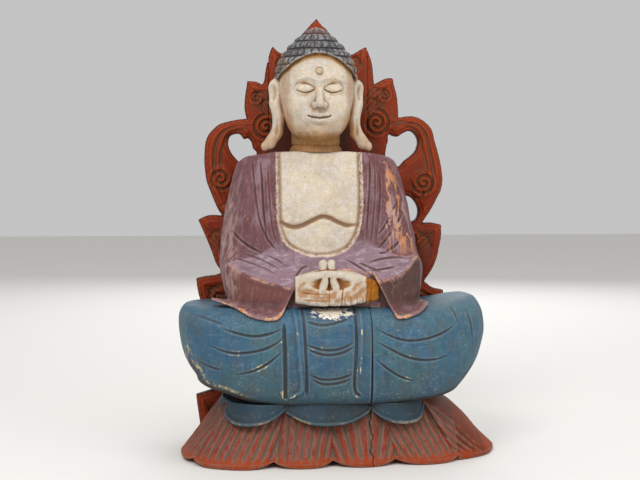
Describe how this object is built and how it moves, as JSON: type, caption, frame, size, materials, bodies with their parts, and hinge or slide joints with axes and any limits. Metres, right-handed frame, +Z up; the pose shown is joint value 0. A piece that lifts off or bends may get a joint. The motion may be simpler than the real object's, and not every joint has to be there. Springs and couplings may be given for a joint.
{
  "type": "seated figure on lotus base",
  "caption": "Carved and painted wooden seated figure on a lotus base, glued up from timbers with dowels and backed by a pierced flame panel on battens.",
  "frame": {"origin": "on the resting plane, under the middle of the figure", "axes": "+Z up, the figure faces -Y, +X is the viewer's right"},
  "size_m": [0.4294, 0.2237, 0.599],
  "materials": {
    "lotus_paint": "worn brick red, grey and blue paint over carved wood",
    "skirt_paint": "worn steel blue paint over carved wood",
    "robe_paint": "worn mauve paint over carved wood",
    "skin_paint": "chalky cream paint over carved wood, dark painted hair on the head",
    "stud_paint": "cream paint with a dark ring",
    "panel_paint": "brick red brown paint, dry brushed tan in the carving",
    "bare_wood": "aged bare wood",
    "dowel_wood": "bare hardwood",
    "screw_steel": "dull zinc plated steel"
  },
  "bodies": {
    "root": {"base_main_timber": "lotus_paint", "base_seam_dowels": "dowel_wood", "base_side_timber": "lotus_paint", "elbow_dowels": "dowel_wood", "figure_screws": "screw_steel", "forearm_left": "robe_paint", "forearm_right": "robe_paint", "forehead_stud": "stud_paint", "hands": "skin_paint", "head": "skin_paint", "knee_seam_dowels": "dowel_wood", "lap_dowels": "dowel_wood", "lap_knee_timber": "skirt_paint", "lap_main_timber": "skirt_paint", "neck_dowel": "dowel_wood", "panel_board_left": "panel_paint", "panel_board_middle": "panel_paint", "panel_board_right": "panel_paint", "panel_dowels": "dowel_wood", "rear_batten_lower": "bare_wood", "rear_batten_upper": "bare_wood", "torso": "robe_paint", "torso_dowels": "dowel_wood", "wing_screws": "screw_steel", "wrist_dowels": "dowel_wood"}
  },
  "joints": []
}
